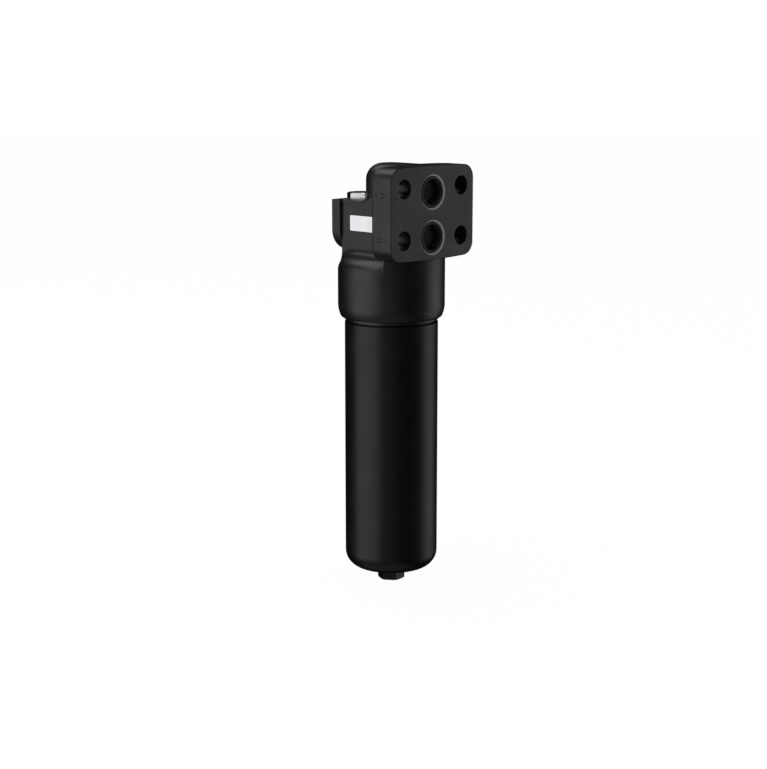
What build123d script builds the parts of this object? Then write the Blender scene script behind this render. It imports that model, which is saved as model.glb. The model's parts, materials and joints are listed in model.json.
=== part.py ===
from build123d import *
import os
from math import cos, pi, sin, sqrt

# High-pressure hydraulic line filter with a side mounting flange.
#
# The flange face lies on Y = 0 and looks along -Y, with the origin midway between
# its four screw holes. The bowl hangs from the head on a vertical axis behind the
# flange. Oil enters the lower port, fills the bowl, passes inwards through the
# pleated element and leaves through the spigot and the upper port.
# All sizes are in millimetres.

# Mounting flange
flange_width = 108.4
flange_height = 84.5
flange_thickness = 23.4
flange_corner_round = 12.2
flange_edge_bow = 1.7  # rise of the top and bottom edges at the middle
flange_edge_chamfer = 0.5
flange_root_round = 3.0  # between the flange's back and the trunk
screw_spacing_x = 74.5
screw_spacing_z = 45.3
screw_hole_diameter = 17.5

# Ports in the flange face
port_spacing = 40.4
port_drop = 2.0  # midpoint of the ports below the middle of the screw holes
port_diameter = 22.0
port_seat_diameter = 28.5
port_seat_depth = 2.6
port_seat_chamfer = 1.4
port_ring_section = 2.5
port_mouth_chamfer = 0.6  # where the bore leaves the floor of its seat

# Trunk, saddle and boss of the head
bowl_axis_back = 51.3  # bowl axis behind the flange face
trunk_radius = 23.3
trunk_setback = 0.25  # top of the trunk below the top of the flange
trunk_top_round = 15.0
trunk_foot_round = 5.0
shelf_drop = 34.45  # shelf below the top of the flange
shelf_edge_round = 2.0
saddle_reach = 40.9  # back of the saddle behind the bowl axis
saddle_foot_round = 9.0
boss_width = 52.0
boss_depth = 11.0
boss_height = 46.9
boss_under_round = 18.8
boss_edge_round = 1.5

# Collar of the head, which the bowl screws into
collar_overhang = 6.2  # of the collar's side past the bowl's
collar_height = 58.0
collar_drop = 0.25  # shoulder below the foot of the flange
collar_shoulder_round = 12.5
collar_lip_height = 2.0
collar_rim_overhang = 3.35  # of the rim's foot past the bowl's side, where its cone meets the flat
collar_cone_height = 8.0
collar_cone_round = 26.0  # between the side and the cone
collar_rim_round = 3.2

# Bowl
bowl_diameter = 86.0
bowl_wall = 8.5
bowl_length = 234.0  # below the joint
bowl_joint_gap = 1.8
bowl_shoulder_chamfer = 0.8
bowl_neck_length = 38.0
bowl_floor_thickness = 11.0
bowl_foot_round = 16.0
bowl_bore_round = 12.0
bowl_hex_across_flats = 22.0
bowl_hex_height = 12.4
bowl_hex_chamfer = 0.8
bowl_hex_turn = 4.8  # degrees

# Thread, seal bore and chamber inside the collar
thread_step = 3.0  # thread inside the bowl's outside
thread_length = 24.0
thread_end_gap = 1.0
seal_bore_step = 1.5  # seal bore inside the thread
bowl_end_gap = 1.0  # above the bowl's rim
chamber_step = 2.0  # chamber inside the seal bore
chamber_roof = 8.4  # metal between the chamber and the shoulder
chamber_roof_round = 6.0
fit_clearance = 0.1
seal_clearance = 0.05
seal_corner_share = 0.35  # corner radius of a squeezed seal, of its smaller side
lead_chamfer = 1.0  # on the ends that enter a bore or a spring
cut_overlap = 1.0  # how far a cut runs past the surface it opens
near = 0.01  # for picking edges by their place

# Gland for the bowl's O-ring and backup ring, cut into the seal bore
gland_drop = 4.0  # top of the gland below the bowl's rim
gland_depth = 2.8
bowl_ring_height = 3.4
backup_ring_height = 1.6

# Passages
outlet_bore_diameter = 19.0
inlet_drop_diameter = 18.0
inlet_drop_back = 26.0  # axis of the inlet's way down, behind the flange face

# Outlet spigot
spigot_thread_diameter = 25.0
spigot_thread_length = 10.0
spigot_end_gap = 1.0
spigot_flange_diameter = 33.0
spigot_flange_thickness = 3.0
spigot_nose_diameter = 26.0
spigot_nose_length = 20.0
spigot_bore_diameter = 18.0
spigot_groove_inset = 0.6  # groove for the ring, outside the thread
spigot_ring_width = 1.8
spigot_ring_height = 1.2

# Filter element
element_side_gap = 4.5  # between the caps and the bowl's wall
element_top_gap = 2.5  # spigot flange to the element's neck
neck_height = 11.0
neck_wall = 6.0
neck_ring_height = 2.8
neck_ring_depth = 2.2
cap_thickness = 2.4
cap_skirt_height = 9.0
cap_skirt_thickness = 0.8
potting_thickness = 1.8
pleat_count = 36
pleat_tip_gap = 1.6  # pleats inside the caps' outside
pleat_inner_diameter = 35.0
pleat_thickness = 1.0
pleat_tip_half_width = 1.35
pleat_root_half_width = 0.3
core_wall = 1.0
core_hole_diameter = 5.0
core_hole_rows = 11
core_holes_round = 6
sleeve_wall = 0.5
sleeve_window_rows = 6
sleeve_windows_round = 8
sleeve_web = 6.0

# Spring under the element
spring_space = 19.5  # between the bottom cap and the bowl's floor
spring_wire = 2.6
spring_mean_diameter = 26.0
spring_turns = 3.5
spring_seat_gap = 0.1
pilot_clearance = 0.4
pilot_height = 3.9

# Indicator port and its plug
indicator_port_back = 38.6  # behind the bowl axis
indicator_thread_diameter = 18.0
indicator_port_depth = 17.0
indicator_plug_length = 13.0
indicator_seat_diameter = 23.0
indicator_seat_depth = 1.2
indicator_bore_diameter = 9.0
plug_hex_across_flats = 24.0
plug_hex_height = 5.6
plug_hex_turn = -1.4  # degrees
plug_chamfer_height = 0.8  # at the hexagon's corners
plug_chamfer_run = 1.6
spot_face_clearance = 0.8  # round the plug's corners, cut into the trunk's flare
sensing_diameter = 3.0
sensing_inset = 4.5  # end of the passage into the chamber, inside the chamber's wall

# Name plate on the saddle's left side
plate_length = 40.0
plate_height = 14.0
plate_thickness = 0.4
plate_corner_round = 1.2
plate_back_end = 29.7  # rear end behind the bowl axis
plate_drop = 20.65  # middle below the shelf

os.makedirs("parts", exist_ok=True)

# Diameters that fit inside one another, from the bowl inwards
collar_radius = bowl_diameter / 2 + collar_overhang
collar_rim_radius = bowl_diameter / 2 + collar_rim_overhang
thread_diameter = bowl_diameter - 2 * thread_step
seal_bore_diameter = thread_diameter - 2 * seal_bore_step
chamber_diameter = seal_bore_diameter - 2 * chamber_step
bowl_bore_diameter = bowl_diameter - 2 * bowl_wall
element_diameter = bowl_bore_diameter - 2 * element_side_gap
pleat_outer_diameter = element_diameter - 2 * pleat_tip_gap

# Levels and places worked out from the driving dimensions
flange_top = flange_height / 2
trunk_top = flange_top - trunk_setback
shelf_level = flange_top - shelf_drop
shoulder_level = -flange_top - collar_drop
rim_level = shoulder_level - collar_height
joint_level = rim_level - bowl_joint_gap
bowl_foot_level = joint_level - bowl_length
bowl_floor_level = bowl_foot_level + bowl_floor_thickness
bowl_top_level = rim_level + bowl_neck_length
chamber_top = shoulder_level - chamber_roof
thread_top = rim_level + thread_length
upper_port_level = port_spacing / 2 - port_drop
lower_port_level = -port_spacing / 2 - port_drop
saddle_back = bowl_axis_back + saddle_reach
indicator_back = bowl_axis_back + indicator_port_back
neck_front = flange_thickness / 2  # the head's body starts inside the flange
saddle_start = (rim_level + shoulder_level) / 2  # and the saddle inside the collar
bowl_axis = Axis((0, bowl_axis_back, 0), (0, 0, 1))

# Half section through the bowl axis: x is the radius, y is the height
half_section = Plane.XZ.offset(-bowl_axis_back)


def ring(inner_radius, outer_radius, low, high, mode=Mode.ADD):
    """Rectangle of a turned ring in the half section, for use in a sketch."""
    with Locations(((inner_radius + outer_radius) / 2, (low + high) / 2)):
        Rectangle(outer_radius - inner_radius, high - low, mode=mode)


def soft_ring(inner_radius, outer_radius, low, high):
    """Section of a seal that is squeezed into its gland, for use in a sketch."""
    width = outer_radius - inner_radius
    height = high - low
    with Locations(((inner_radius + outer_radius) / 2, (low + high) / 2)):
        RectangleRounded(width, height, seal_corner_share * min(width, height))


def drill(start, end, diameter):
    """Round passage from one point to another, cut from the current part."""
    way = Vector(end) - Vector(start)
    from_start = (Align.CENTER, Align.CENTER, Align.MIN)
    with Locations(Plane(origin=start, z_dir=way)):
        Cylinder(diameter / 2, way.length, align=from_start, mode=Mode.SUBTRACT)


def is_foot_edge(edge):
    """True for the lines where the saddle's flanks meet the collar."""
    box = edge.bounding_box()
    on_flank = box.size.X < near and abs(abs(edge.center().X) - trunk_radius) < near
    return on_flank and saddle_start + near < box.max.Z < shoulder_level + near


def is_root_edge(edge):
    """True for the lines where the trunk's sides and top leave the flange's back."""
    box = edge.bounding_box()
    on_back = box.size.Y < near and abs(edge.center().Y - flange_thickness) < near
    across = max(abs(box.min.X), abs(box.max.X))
    return on_back and across < trunk_radius + near and edge.center().Z > shoulder_level + near


# Collar: the turned outside of the head's lower end
lip_radius = bowl_diameter / 2
lip_top = rim_level + collar_lip_height
shoulder_corner = (collar_radius, shoulder_level)
cone_corner = (collar_radius, lip_top + collar_cone_height)
rim_corner = (collar_rim_radius, lip_top)
lip_corner = (lip_radius, lip_top)

with BuildPart() as collar_form:
    with BuildSketch(half_section):
        with BuildLine():
            Polyline((0, shoulder_level), shoulder_corner, cone_corner, rim_corner, lip_corner)
            Polyline(lip_corner, (lip_radius, rim_level), (0, rim_level), (0, shoulder_level))
        make_face()
        fillet(vertices().sort_by_distance(shoulder_corner)[0], collar_shoulder_round)
        fillet(vertices().sort_by_distance(cone_corner)[0], collar_cone_round)
        fillet(vertices().sort_by_distance(rim_corner)[0], collar_rim_round)
    revolve(axis=bowl_axis)

# Saddle: a block across the collar, with a concave foot that follows the shoulder's
# round. It is made too long and then cut at its front and back.
with BuildPart() as saddle_form:
    add(collar_form.part)
    with BuildSketch(Plane.XY.offset(saddle_start)):
        with Locations((0, bowl_axis_back)):
            Rectangle(2 * trunk_radius, 3 * collar_radius)
    extrude(amount=shelf_level - saddle_start)
    fillet([edge for edge in saddle_form.edges() if is_foot_edge(edge)], saddle_foot_round)
    with Locations((0, (neck_front + saddle_back) / 2, 0)):
        Box(4 * collar_radius, saddle_back - neck_front, 4 * collar_height, mode=Mode.INTERSECT)

# Trunk: round at the back and straight towards the flange, with a rounded top
with BuildPart() as trunk_form:
    with BuildSketch(Plane.XY.offset(shoulder_level)):
        with Locations((0, bowl_axis_back)):
            Circle(trunk_radius)
        with Locations((0, (neck_front + bowl_axis_back) / 2)):
            Rectangle(2 * trunk_radius, bowl_axis_back - neck_front)
    extrude(amount=trunk_top - shoulder_level)
    side_and_back_edges = trunk_form.edges().group_by(Axis.Z)[-1].sort_by(Axis.Y)[1:]
    fillet(side_and_back_edges, trunk_top_round)

# Flare at the trunk's foot, kept within the saddle's width
flare_radius = trunk_radius + trunk_foot_round
flare_top = shelf_level + trunk_foot_round
with BuildPart() as flare_form:
    with BuildSketch(half_section):
        with BuildLine():
            RadiusArc((flare_radius, shelf_level), (trunk_radius, flare_top), trunk_foot_round)
            Polyline((trunk_radius, flare_top), (0, flare_top), (0, 0), (flare_radius, 0))
            Line((flare_radius, 0), (flare_radius, shelf_level))
        make_face()
    revolve(axis=bowl_axis)
    with Locations((0, bowl_axis_back + flare_radius, 0)):
        Box(2 * trunk_radius, 2 * flare_radius, 2 * flange_height, mode=Mode.INTERSECT)

# Flange plate, with bowed top and bottom edges and rounded corners
half_width = flange_width / 2
corner_level = flange_top - flange_edge_bow
with BuildPart() as flange_form:
    with BuildSketch(Plane.XZ):
        with BuildLine():
            ThreePointArc((-half_width, corner_level), (0, flange_top), (half_width, corner_level))
            Line((half_width, corner_level), (half_width, -corner_level))
            ThreePointArc((half_width, -corner_level), (0, -flange_top), (-half_width, -corner_level))
            Line((-half_width, -corner_level), (-half_width, corner_level))
        make_face()
        fillet(vertices(), flange_corner_round)
    extrude(amount=-flange_thickness)
    chamfer(flange_form.faces().sort_by(Axis.Y)[0].edges(), flange_edge_chamfer)
    chamfer(flange_form.faces().sort_by(Axis.Y)[-1].edges(), flange_edge_chamfer)
flange_back = flange_form.faces().sort_by(Axis.Y)[-1]

# Round between the trunk and the flange's back, kept within the flat of the back
with BuildPart() as root_form:
    add(trunk_form.part)
    with Locations((0, (neck_front + flange_thickness) / 2, 0)):
        Box(flange_width, flange_thickness - neck_front, 2 * flange_height)
    fillet([edge for edge in root_form.edges() if is_root_edge(edge)], flange_root_round)
    extrude(flange_back, amount=flange_root_round, mode=Mode.INTERSECT)

# Front of the collar, below the flange: here its side rises straight into the flange
collar_front_top = -corner_level + 2 * flange_edge_chamfer
collar_front_foot = shoulder_level - collar_shoulder_round
with BuildPart() as collar_front:
    with BuildSketch(Plane.XY.offset(collar_front_foot)):
        with Locations((0, bowl_axis_back)):
            Circle(collar_radius)
    extrude(amount=collar_front_top - collar_front_foot)
    with Locations((0, flange_thickness / 2, 0)):
        Box(2 * collar_radius, flange_thickness, 2 * flange_height, mode=Mode.INTERSECT)

# Indicator boss: a pad across the saddle's back with a rounded underside
with BuildPart() as boss_form:
    with BuildSketch(Plane.XZ.offset(-saddle_back)):
        with Locations((0, shelf_level - boss_height / 2)):
            Rectangle(boss_width, boss_height)
        fillet(vertices().group_by(Axis.Y)[0], boss_under_round)
    extrude(amount=-boss_depth)
    fillet(boss_form.faces().sort_by(Axis.Y)[-1].edges(), boss_edge_round)

# Head: the forms joined, then bored
seal_bore_top = bowl_top_level + bowl_end_gap
gland_top = bowl_top_level - gland_drop
gland_foot = gland_top - bowl_ring_height - backup_ring_height - 2 * seal_clearance
gland_radius = seal_bore_diameter / 2 + gland_depth
port_radius = port_diameter / 2
port_seat_radius = port_seat_diameter / 2
indicator_thread_radius = indicator_thread_diameter / 2
indicator_port_foot = shelf_level - indicator_port_depth
sensing_start = indicator_port_foot - indicator_bore_diameter / 2
spigot_bore_top = chamber_top + spigot_thread_length + spigot_end_gap
plug_corner = plug_hex_across_flats / sqrt(3)
into_chamber = chamber_top - cut_overlap

with BuildPart() as head:
    add(saddle_form.part)
    add(trunk_form.part)
    add(flare_form.part)
    shelf_edges = head.edges().filter_by(Axis.Y)
    fillet(shelf_edges.filter_by_position(Axis.Z, shelf_level - near, shelf_level + near), shelf_edge_round)
    add(boss_form.part)
    add(collar_form.part)
    add(collar_front.part)
    add(flange_form.part)
    add(root_form.part)

    # Chamber, seal bore with its gland, and thread, turned from below
    with BuildSketch(half_section):
        ring(0, chamber_diameter / 2, rim_level, chamber_top)
        fillet(vertices().group_by(Axis.Y)[-1].sort_by(Axis.X)[-1], chamber_roof_round)
        ring(0, seal_bore_diameter / 2, rim_level, seal_bore_top)
        ring(0, gland_radius, gland_foot, gland_top)
        ring(0, thread_diameter / 2, rim_level, thread_top)
    revolve(axis=bowl_axis, mode=Mode.SUBTRACT)

    # Screw holes and ports in the flange face
    with Locations(Plane.XZ):
        with GridLocations(screw_spacing_x, screw_spacing_z, 2, 2):
            Hole(screw_hole_diameter / 2, depth=flange_thickness + cut_overlap)
        with Locations((0, upper_port_level)):
            CounterBoreHole(port_radius, port_seat_radius, port_seat_depth, depth=bowl_axis_back)
        with Locations((0, lower_port_level)):
            CounterBoreHole(port_radius, port_seat_radius, port_seat_depth, depth=inlet_drop_back)
    circles = head.edges().filter_by(GeomType.CIRCLE)
    face_circles = circles.filter_by_position(Axis.Y, -near, near)
    chamfer([edge for edge in face_circles if abs(edge.radius - port_seat_radius) < near], port_seat_chamfer)
    seat_circles = circles.filter_by_position(Axis.Y, port_seat_depth - near, port_seat_depth + near)
    chamfer([edge for edge in seat_circles if abs(edge.radius - port_radius) < near], port_mouth_chamfer)

    # Cored turns behind the ports, and the ways down to the chamber
    with Locations((0, bowl_axis_back, upper_port_level), (0, inlet_drop_back, lower_port_level)):
        Sphere(port_radius, mode=Mode.SUBTRACT)
    drill((0, bowl_axis_back, upper_port_level), (0, bowl_axis_back, into_chamber), outlet_bore_diameter)
    drill((0, bowl_axis_back, spigot_bore_top), (0, bowl_axis_back, into_chamber), spigot_thread_diameter)
    inlet_drop_end = (0, inlet_drop_back, into_chamber - chamber_roof_round)
    drill((0, inlet_drop_back, lower_port_level), inlet_drop_end, inlet_drop_diameter)

    # Indicator port with its spot face, and a sensing passage to each side of the element
    with Locations((0, indicator_back, shelf_level)):
        Cylinder(
            plug_corner + spot_face_clearance,
            trunk_foot_round,
            align=(Align.CENTER, Align.CENTER, Align.MIN),
            mode=Mode.SUBTRACT,
        )
        CounterBoreHole(
            indicator_thread_radius, indicator_seat_diameter / 2, indicator_seat_depth, indicator_port_depth
        )
        Hole(indicator_bore_diameter / 2, depth=shelf_level - sensing_start)
    sensing_point = (0, indicator_back, sensing_start + cut_overlap)
    sensing_reach = chamber_diameter / 2 - sensing_inset
    upstream_point = (0, bowl_axis_back + sensing_reach, chamber_top - sensing_diameter)
    drill(sensing_point, upstream_point, sensing_diameter)
    drill(sensing_point, (0, bowl_axis_back, lower_port_level), sensing_diameter)

head.part.label = "head"
export_step(head.part, "parts/head.step")

# Bowl: thread and plain seal land at the top, a thick rounded floor, and a hexagon
with BuildPart() as bowl:
    with BuildSketch(half_section):
        ring(0, bowl_diameter / 2, bowl_foot_level, joint_level)
        fillet(vertices().group_by(Axis.Y)[0].sort_by(Axis.X)[-1], bowl_foot_round)
        chamfer(vertices().group_by(Axis.Y)[-1].sort_by(Axis.X)[-1], bowl_shoulder_chamfer)
        ring(0, thread_diameter / 2 - fit_clearance, joint_level, thread_top - thread_end_gap)
        ring(0, seal_bore_diameter / 2 - fit_clearance, joint_level, bowl_top_level)
        chamfer(vertices().group_by(Axis.Y)[-1].sort_by(Axis.X)[-1], lead_chamfer)
    revolve(axis=bowl_axis)
    with BuildSketch(half_section):
        ring(0, bowl_bore_diameter / 2, bowl_floor_level, bowl_top_level)
        fillet(vertices().group_by(Axis.Y)[0].sort_by(Axis.X)[-1], bowl_bore_round)
    revolve(axis=bowl_axis, mode=Mode.SUBTRACT)
    with BuildSketch(Plane.XY.offset(bowl_foot_level)):
        with Locations((0, bowl_axis_back)):
            RegularPolygon(bowl_hex_across_flats / 2, 6, major_radius=False, rotation=bowl_hex_turn)
    extrude(amount=-bowl_hex_height)
    chamfer_top = bowl_foot_level - bowl_hex_height + bowl_hex_chamfer
    hex_corner = bowl_hex_across_flats / sqrt(3)
    with BuildSketch(half_section):
        with BuildLine():
            Polyline(
                (hex_corner - bowl_hex_chamfer, chamfer_top - bowl_hex_chamfer),
                (hex_corner + cut_overlap, chamfer_top + cut_overlap),
                (hex_corner + cut_overlap, chamfer_top - bowl_hex_chamfer),
                close=True,
            )
        make_face()
    revolve(axis=bowl_axis, mode=Mode.SUBTRACT)
bowl.part.label = "bowl"
export_step(bowl.part, "parts/bowl.step")

# Bowl seal: O-ring above, backup ring below it on the side away from the pressure
seal_inside = seal_bore_diameter / 2 - fit_clearance + seal_clearance
seal_outside = gland_radius - seal_clearance
bowl_ring_foot = gland_top - seal_clearance - bowl_ring_height
with BuildPart() as bowl_o_ring:
    with BuildSketch(half_section):
        soft_ring(seal_inside, seal_outside, bowl_ring_foot, gland_top - seal_clearance)
    revolve(axis=bowl_axis)
bowl_o_ring.part.label = "bowl_o_ring"
export_step(bowl_o_ring.part, "parts/bowl_o_ring.step")

with BuildPart() as bowl_backup_ring:
    with BuildSketch(half_section):
        ring(seal_inside, seal_outside, bowl_ring_foot - backup_ring_height, bowl_ring_foot)
    revolve(axis=bowl_axis)
bowl_backup_ring.part.label = "bowl_backup_ring"
export_step(bowl_backup_ring.part, "parts/bowl_backup_ring.step")

# Outlet spigot, screwed up into the head, with a seal in its flange
spigot_flange_foot = chamber_top - spigot_flange_thickness
nose_end = spigot_flange_foot - spigot_nose_length
spigot_groove_inside = spigot_thread_diameter / 2 + spigot_groove_inset
spigot_groove_outside = spigot_groove_inside + spigot_ring_width
spigot_groove_foot = chamber_top - spigot_ring_height
with BuildPart() as outlet_spigot:
    with BuildSketch(half_section):
        ring(0, spigot_thread_diameter / 2 - fit_clearance, nose_end, chamber_top + spigot_thread_length)
        ring(0, spigot_flange_diameter / 2, spigot_flange_foot, chamber_top)
        ring(0, spigot_nose_diameter / 2, nose_end, spigot_flange_foot)
        chamfer(vertices().group_by(Axis.Y)[0].sort_by(Axis.X)[-1], lead_chamfer)
        ring(0, spigot_bore_diameter / 2, nose_end, chamber_top + spigot_thread_length, Mode.SUBTRACT)
        ring(spigot_groove_inside, spigot_groove_outside, spigot_groove_foot, chamber_top, Mode.SUBTRACT)
    revolve(axis=bowl_axis)
outlet_spigot.part.label = "outlet_spigot"
export_step(outlet_spigot.part, "parts/outlet_spigot.step")

with BuildPart() as spigot_o_ring:
    with BuildSketch(half_section):
        soft_ring(
            spigot_groove_inside + seal_clearance,
            spigot_groove_outside - seal_clearance,
            spigot_groove_foot + seal_clearance,
            chamber_top - seal_clearance,
        )
    revolve(axis=bowl_axis)
spigot_o_ring.part.label = "spigot_o_ring"
export_step(spigot_o_ring.part, "parts/spigot_o_ring.step")

# Element levels and radii
neck_top = spigot_flange_foot - element_top_gap
cap_top = neck_top - neck_height
pleat_top = cap_top - cap_thickness - potting_thickness
cap_foot = bowl_floor_level + spring_space
pleat_foot = cap_foot + cap_thickness + potting_thickness
pleat_length = pleat_top - pleat_foot
neck_bore_radius = spigot_nose_diameter / 2 + fit_clearance
neck_radius = neck_bore_radius + neck_wall
cap_radius = element_diameter / 2
skirt_bore_radius = cap_radius - cap_skirt_thickness
core_radius = pleat_inner_diameter / 2 - fit_clearance
core_bore_radius = core_radius - core_wall
sleeve_bore_radius = pleat_outer_diameter / 2 + fit_clearance
sleeve_radius = sleeve_bore_radius + sleeve_wall
potting_radius = skirt_bore_radius - fit_clearance
neck_ring_level = (neck_top + cap_top) / 2
neck_groove_half = neck_ring_height / 2 + seal_clearance
neck_groove_radius = neck_bore_radius + neck_ring_depth

with BuildPart() as element_top_cap:
    with BuildSketch(half_section):
        ring(neck_bore_radius, neck_radius, cap_top - cap_thickness, neck_top)
        ring(neck_bore_radius, cap_radius, cap_top - cap_thickness, cap_top)
        ring(skirt_bore_radius, cap_radius, cap_top - cap_skirt_height, cap_top)
        ring(
            neck_bore_radius - cut_overlap,
            neck_groove_radius,
            neck_ring_level - neck_groove_half,
            neck_ring_level + neck_groove_half,
            Mode.SUBTRACT,
        )
    revolve(axis=bowl_axis)
element_top_cap.part.label = "element_top_cap"
export_step(element_top_cap.part, "parts/element_top_cap.step")

with BuildPart() as element_neck_o_ring:
    with BuildSketch(half_section):
        soft_ring(
            spigot_nose_diameter / 2 + seal_clearance,
            neck_groove_radius - seal_clearance,
            neck_ring_level - neck_ring_height / 2,
            neck_ring_level + neck_ring_height / 2,
        )
    revolve(axis=bowl_axis)
element_neck_o_ring.part.label = "element_neck_o_ring"
export_step(element_neck_o_ring.part, "parts/element_neck_o_ring.step")

# Bottom cap: closed, with a pilot that keeps the spring in the middle
pilot_radius = (spring_mean_diameter - spring_wire) / 2 - pilot_clearance
with BuildPart() as element_bottom_cap:
    with BuildSketch(half_section):
        ring(0, cap_radius, cap_foot, cap_foot + cap_thickness)
        ring(skirt_bore_radius, cap_radius, cap_foot, cap_foot + cap_skirt_height)
        ring(0, pilot_radius, cap_foot - pilot_height, cap_foot)
        chamfer(vertices().group_by(Axis.Y)[0].sort_by(Axis.X)[-1], lead_chamfer)
    revolve(axis=bowl_axis)
element_bottom_cap.part.label = "element_bottom_cap"
export_step(element_bottom_cap.part, "parts/element_bottom_cap.step")

# Resin that bonds the pleats, core and sleeve into each cap
with BuildPart() as upper_potting:
    with BuildSketch(half_section):
        ring(core_bore_radius, potting_radius, pleat_top, pleat_top + potting_thickness)
    revolve(axis=bowl_axis)
upper_potting.part.label = "upper_potting"
export_step(upper_potting.part, "parts/upper_potting.step")

with BuildPart() as lower_potting:
    with BuildSketch(half_section):
        ring(core_bore_radius, potting_radius, pleat_foot - potting_thickness, pleat_foot)
    revolve(axis=bowl_axis)
lower_potting.part.label = "lower_potting"
export_step(lower_potting.part, "parts/lower_potting.step")


def pleat_outline(tip_radius, tip_half_width, root_radius, root_half_width):
    """Points of one side of the pleated pack, seen along the bowl axis."""
    points = []
    half_step = pi / pleat_count
    for pleat in range(pleat_count):
        tip_angle = 2 * pleat * half_step
        for radius, half_width, angle in (
            (tip_radius, -tip_half_width, tip_angle),
            (tip_radius, tip_half_width, tip_angle),
            (root_radius, -root_half_width, tip_angle + half_step),
            (root_radius, root_half_width, tip_angle + half_step),
        ):
            along = sqrt(radius**2 - half_width**2)
            x = along * cos(angle) - half_width * sin(angle)
            y = along * sin(angle) + half_width * cos(angle)
            points.append((x, y))
    return points


# Pleated pack: the medium and its meshes, folded to an even thickness
pleat_tip_radius = pleat_outer_diameter / 2
pleat_root_radius = pleat_inner_diameter / 2
outer_side = pleat_outline(
    pleat_tip_radius, pleat_tip_half_width, pleat_root_radius + pleat_thickness, pleat_root_half_width
)
inner_side = pleat_outline(
    pleat_tip_radius - pleat_thickness,
    pleat_tip_half_width - pleat_thickness,
    pleat_root_radius,
    pleat_root_half_width + pleat_thickness,
)
with BuildPart() as filter_media:
    with BuildSketch(Plane.XY.offset(pleat_foot).move(Location((0, bowl_axis_back, 0)))):
        with BuildLine():
            Polyline(*outer_side, close=True)
        make_face()
        with BuildLine():
            Polyline(*inner_side, close=True)
        make_face(mode=Mode.SUBTRACT)
    extrude(amount=pleat_length)
filter_media.part.label = "filter_media"
export_step(filter_media.part, "parts/filter_media.step")

# Perforated core that carries the pleats against the pressure
core_row_step = pleat_length / core_hole_rows
with BuildPart() as support_core:
    with BuildSketch(half_section):
        ring(core_bore_radius, core_radius, pleat_foot, pleat_top)
    revolve(axis=bowl_axis)
    for row in range(core_hole_rows):
        level = pleat_foot + (row + 0.5) * core_row_step
        with Locations((0, bowl_axis_back, level)):
            with PolarLocations(0, core_holes_round):
                Cylinder(
                    core_hole_diameter / 2,
                    core_radius + cut_overlap,
                    rotation=(0, 90, 0),
                    align=(Align.CENTER, Align.CENTER, Align.MIN),
                    mode=Mode.SUBTRACT,
                )
support_core.part.label = "support_core"
export_step(support_core.part, "parts/support_core.step")

# Open sleeve round the pleats, with webs between its windows
window_row_step = pleat_length / sleeve_window_rows
window_width = 2 * pi * sleeve_radius / sleeve_windows_round - sleeve_web
with BuildPart() as outer_sleeve:
    with BuildSketch(half_section):
        ring(sleeve_bore_radius, sleeve_radius, pleat_foot, pleat_top)
    revolve(axis=bowl_axis)
    for row in range(sleeve_window_rows):
        level = pleat_foot + (row + 0.5) * window_row_step
        with Locations((0, bowl_axis_back, level)):
            with PolarLocations(0, sleeve_windows_round):
                Box(
                    sleeve_radius + cut_overlap,
                    window_width,
                    window_row_step - sleeve_web,
                    align=(Align.MIN, Align.CENTER, Align.CENTER),
                    mode=Mode.SUBTRACT,
                )
outer_sleeve.part.label = "outer_sleeve"
export_step(outer_sleeve.part, "parts/outer_sleeve.step")

# Spring between the bottom cap and the bowl's floor
spring_foot = bowl_floor_level + spring_wire / 2 + spring_seat_gap
spring_height = cap_foot - bowl_floor_level - spring_wire - 2 * spring_seat_gap
with BuildPart() as element_spring:
    with BuildLine():
        coil = Helix(
            spring_height / spring_turns,
            spring_height,
            spring_mean_diameter / 2,
            center=(0, bowl_axis_back, spring_foot),
        )
    with BuildSketch(Plane(origin=coil @ 0, z_dir=coil % 0)):
        Circle(spring_wire / 2)
    sweep(is_frenet=True)
element_spring.part.label = "element_spring"
export_step(element_spring.part, "parts/element_spring.step")

# Plug in the indicator port
plug_top = shelf_level + plug_hex_height
indicator_axis = Axis((0, indicator_back, 0), (0, 0, 1))
indicator_section = Plane.XZ.offset(-indicator_back)
with BuildPart() as indicator_plug:
    with BuildSketch(Plane.XY.offset(shelf_level)):
        with Locations((0, indicator_back)):
            RegularPolygon(plug_hex_across_flats / 2, 6, major_radius=False, rotation=plug_hex_turn)
    extrude(amount=plug_hex_height)
    with BuildSketch(indicator_section):
        with BuildLine():
            Polyline(
                (plug_corner - plug_chamfer_run, plug_top),
                (plug_corner + plug_chamfer_run, plug_top),
                (plug_corner + plug_chamfer_run, plug_top - 2 * plug_chamfer_height),
                close=True,
            )
        make_face()
    revolve(axis=indicator_axis, mode=Mode.SUBTRACT)
    with BuildSketch(indicator_section):
        ring(0, indicator_thread_radius - fit_clearance, shelf_level - indicator_plug_length, shelf_level)
        chamfer(vertices().group_by(Axis.Y)[0].sort_by(Axis.X)[-1], lead_chamfer)
    revolve(axis=indicator_axis)
indicator_plug.part.label = "indicator_plug"
export_step(indicator_plug.part, "parts/indicator_plug.step")

with BuildPart() as indicator_plug_seal:
    with BuildSketch(indicator_section):
        soft_ring(
            indicator_thread_radius + seal_clearance,
            indicator_seat_diameter / 2 - seal_clearance,
            shelf_level - indicator_seat_depth + seal_clearance,
            shelf_level - seal_clearance,
        )
    revolve(axis=indicator_axis)
indicator_plug_seal.part.label = "indicator_plug_seal"
export_step(indicator_plug_seal.part, "parts/indicator_plug_seal.step")

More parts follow.
